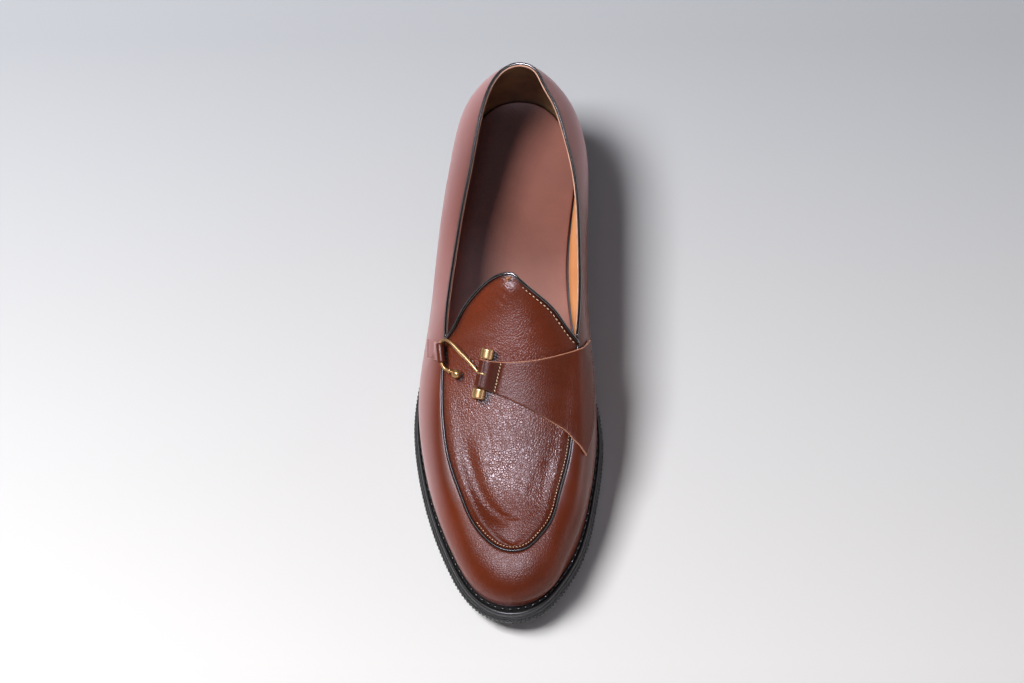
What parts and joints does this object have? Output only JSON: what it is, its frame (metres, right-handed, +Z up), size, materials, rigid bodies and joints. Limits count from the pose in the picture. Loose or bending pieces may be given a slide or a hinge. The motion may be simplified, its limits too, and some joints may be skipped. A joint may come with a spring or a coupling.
{
  "type": "loafer",
  "caption": "Brown leather slip-on loafer for the right foot with apron front, almond tongue, strap and brass S-hook on a black rubber sole.",
  "frame": {"origin": "on the floor, under the middle of the shoe's length and width", "axes": "+Z up, the toe points along -Y and the heel along +Y, the inner side of the foot is +X and the outer side -X"},
  "size_m": [0.1027, 0.3028, 0.0923],
  "materials": {
    "calf_leather": "polished, fine grain",
    "dark_piping": "glossy",
    "footbed_leather": "matt",
    "black_rubber": "satin",
    "black_welt": "satin",
    "brass": "polished"
  },
  "bodies": {
    "root": {"outsole": "black_rubber", "heel": "black_rubber", "welt": "black_welt", "insole": "footbed_leather", "upper": "calf_leather", "apron_piping": "dark_piping", "collar_piping": "dark_piping", "tongue_piping": "dark_piping", "strap": "calf_leather", "strap_bar": "brass", "hook": "brass", "hook_loop": "calf_leather"}
  },
  "joints": []
}
